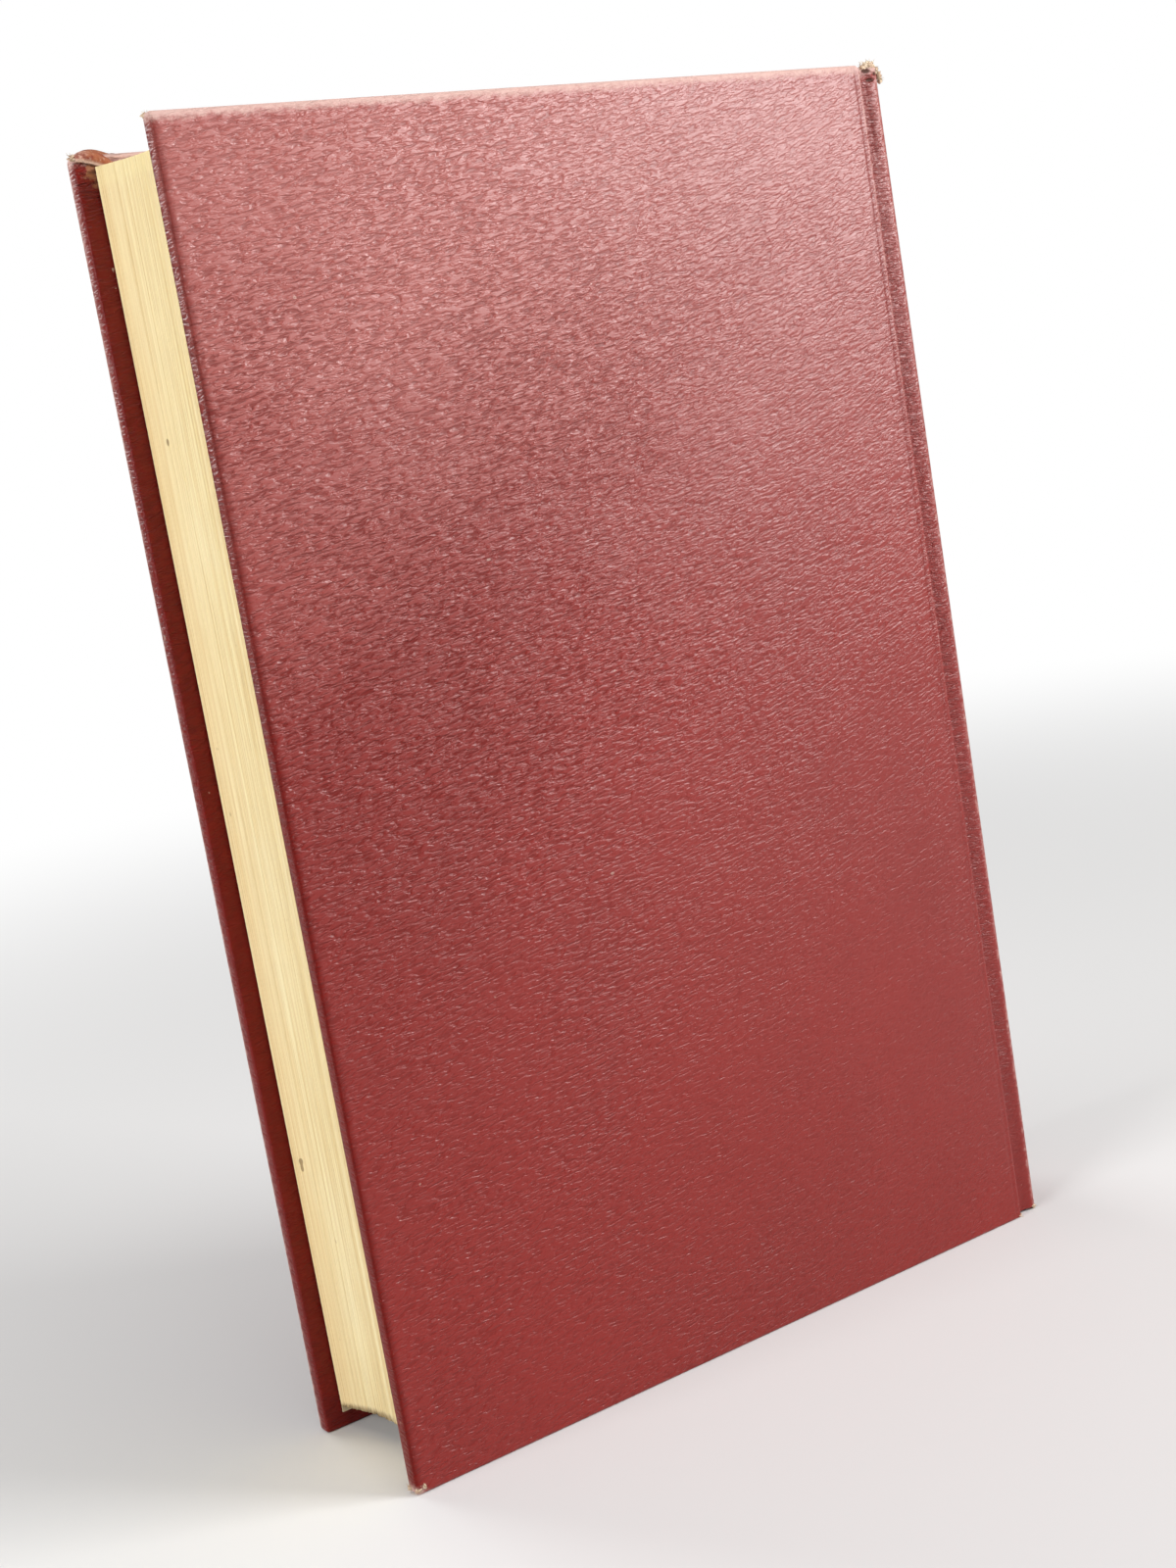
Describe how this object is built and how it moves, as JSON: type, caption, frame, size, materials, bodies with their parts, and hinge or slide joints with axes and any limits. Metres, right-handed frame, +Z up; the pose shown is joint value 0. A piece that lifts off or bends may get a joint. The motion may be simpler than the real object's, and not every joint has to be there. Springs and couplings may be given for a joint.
{
  "type": "hardback book",
  "caption": "Closed octavo hardback book with a rounded spine and worn, blank maroon leathercloth covers that swing open.",
  "frame": {"origin": "middle of the tail, on the surface that the standing book rests on", "axes": "+Z up to the head, +X from the fore-edge to the spine, -Y out of the back cover, +Y out of the front cover"},
  "size_m": [0.1482, 0.0366, 0.222],
  "materials": {
    "leaves": "aged, uncoated",
    "endpaper": "aged, uncoated",
    "leathercloth": "fine grain, dull sheen, worn",
    "greyboard": "raw",
    "inlay": "raw",
    "lining": "raw kraft",
    "mull": "open weave, sized",
    "headband": "woven"
  },
  "bodies": {
    "block_and_spine": {"text_block": "leaves", "back_flyleaf": "endpaper", "front_flyleaf": "endpaper", "spine_leather": "leathercloth", "spine_inlay": "inlay", "spine_lining": "lining", "mull": "mull", "head_band": "headband", "tail_band": "headband"},
    "back_cover": {"back_board": "greyboard", "back_cover_leather": "leathercloth", "back_pastedown": "endpaper"},
    "front_cover": {"front_board": "greyboard", "front_cover_leather": "leathercloth", "front_pastedown": "endpaper"}
  },
  "joints": [
    {"name": "back_cover_hinge", "type": "hinge", "parent": "block_and_spine", "child": "back_cover", "pos_m": [0.0652, -0.01805, 0.111], "axis": [0, 0, 1], "range_deg": [0, 180]},
    {"name": "front_cover_hinge", "type": "hinge", "parent": "block_and_spine", "child": "front_cover", "pos_m": [0.0652, 0.01805, 0.111], "axis": [0, 0, -1], "range_deg": [0, 180]}
  ]
}
